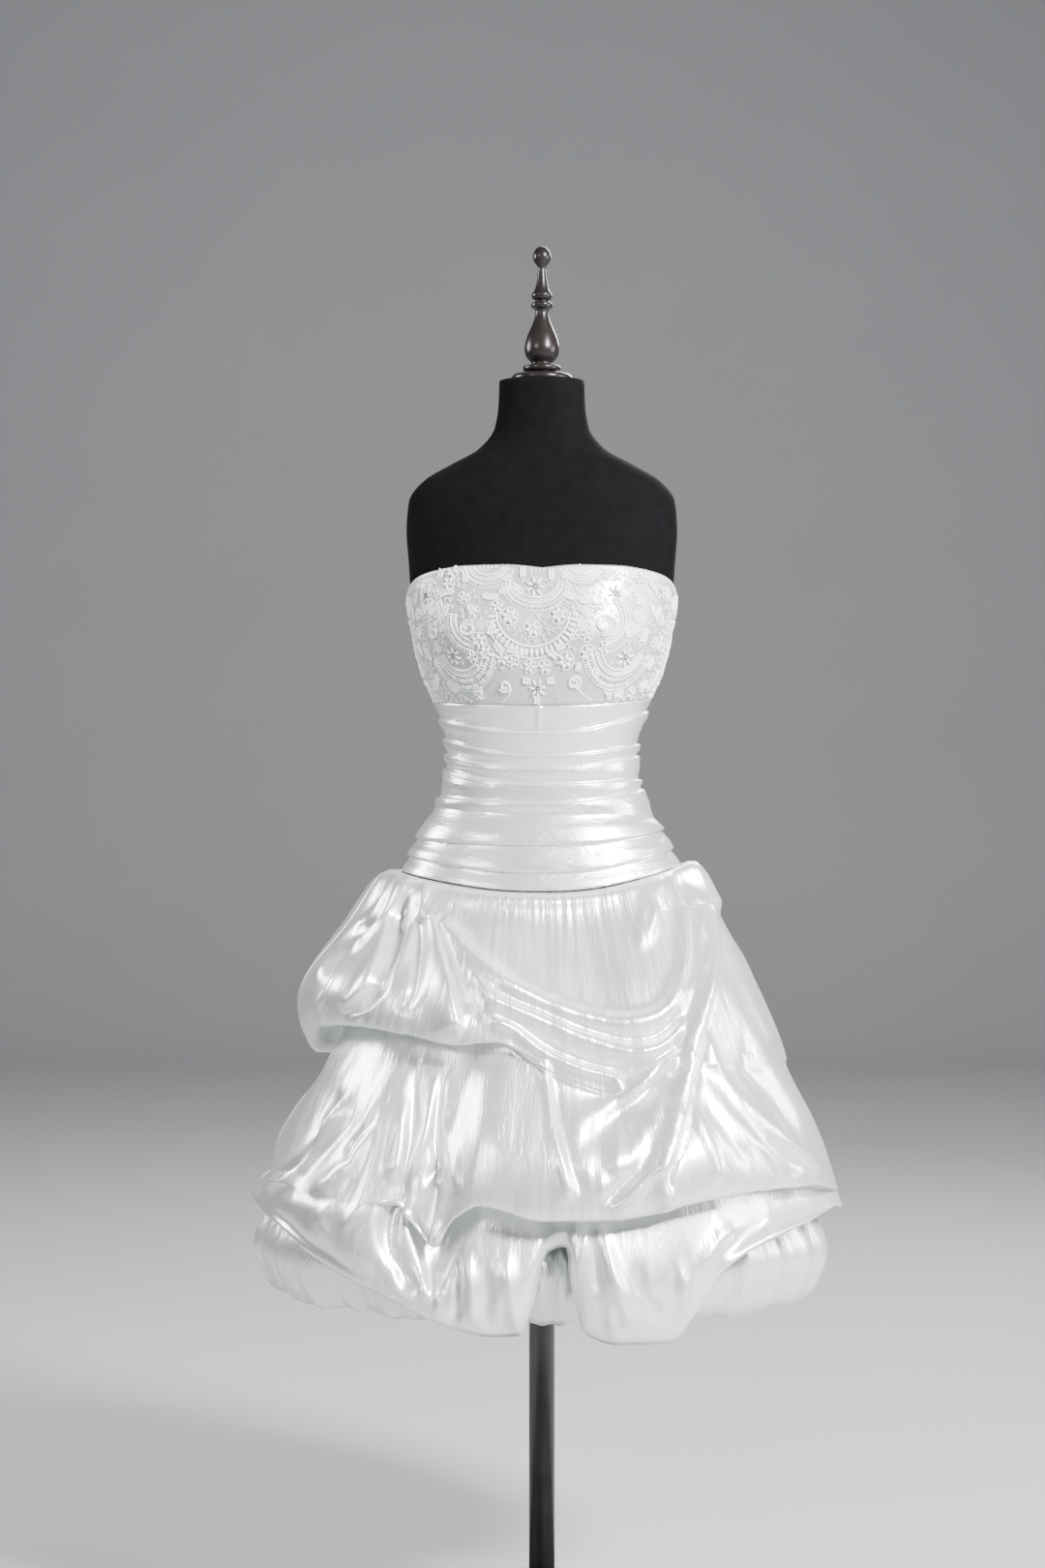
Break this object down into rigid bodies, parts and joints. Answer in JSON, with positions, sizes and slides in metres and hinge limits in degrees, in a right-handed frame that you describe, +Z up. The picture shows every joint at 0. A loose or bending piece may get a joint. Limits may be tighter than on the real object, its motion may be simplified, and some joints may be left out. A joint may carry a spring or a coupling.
{
  "type": "short wedding dress on dress form",
  "caption": "White satin strapless wedding dress with a beaded lace bust, pleated midriff and picked-up bubble skirt, on a black dress form with a turned finial.",
  "frame": {"origin": "centre of the stand base's underside, on the floor under the pole", "axes": "+Z up along the pole, the dress faces -Y, +X is on the viewer's right when the dress is seen from the front"},
  "size_m": [0.7184, 0.6663, 1.696],
  "materials": {
    "skirt_satin": "white crinkled satin with a soft sheen",
    "underskirt_satin": "white satin, gathered into a puffed hem",
    "midriff_satin": "smooth white satin laid in pleats, with a broad sheen",
    "lace": "white corded lace sewn over satin, with small beads",
    "form_cover": "matt black jersey",
    "finial_lacquer": "turned wood in glossy black lacquer",
    "stand_enamel": "black enamelled steel"
  },
  "bodies": {
    "root": {"skirt_front": "skirt_satin", "skirt_back": "skirt_satin", "underskirt": "underskirt_satin", "bust_front": "lace", "bust_back_left": "lace", "bust_back_right": "lace", "midriff_front": "midriff_satin", "midriff_back_left": "midriff_satin", "midriff_back_right": "midriff_satin", "back_placket": "midriff_satin", "form_torso": "form_cover", "form_finial": "finial_lacquer", "stand_pole": "stand_enamel", "stand_base": "stand_enamel"}
  },
  "joints": []
}
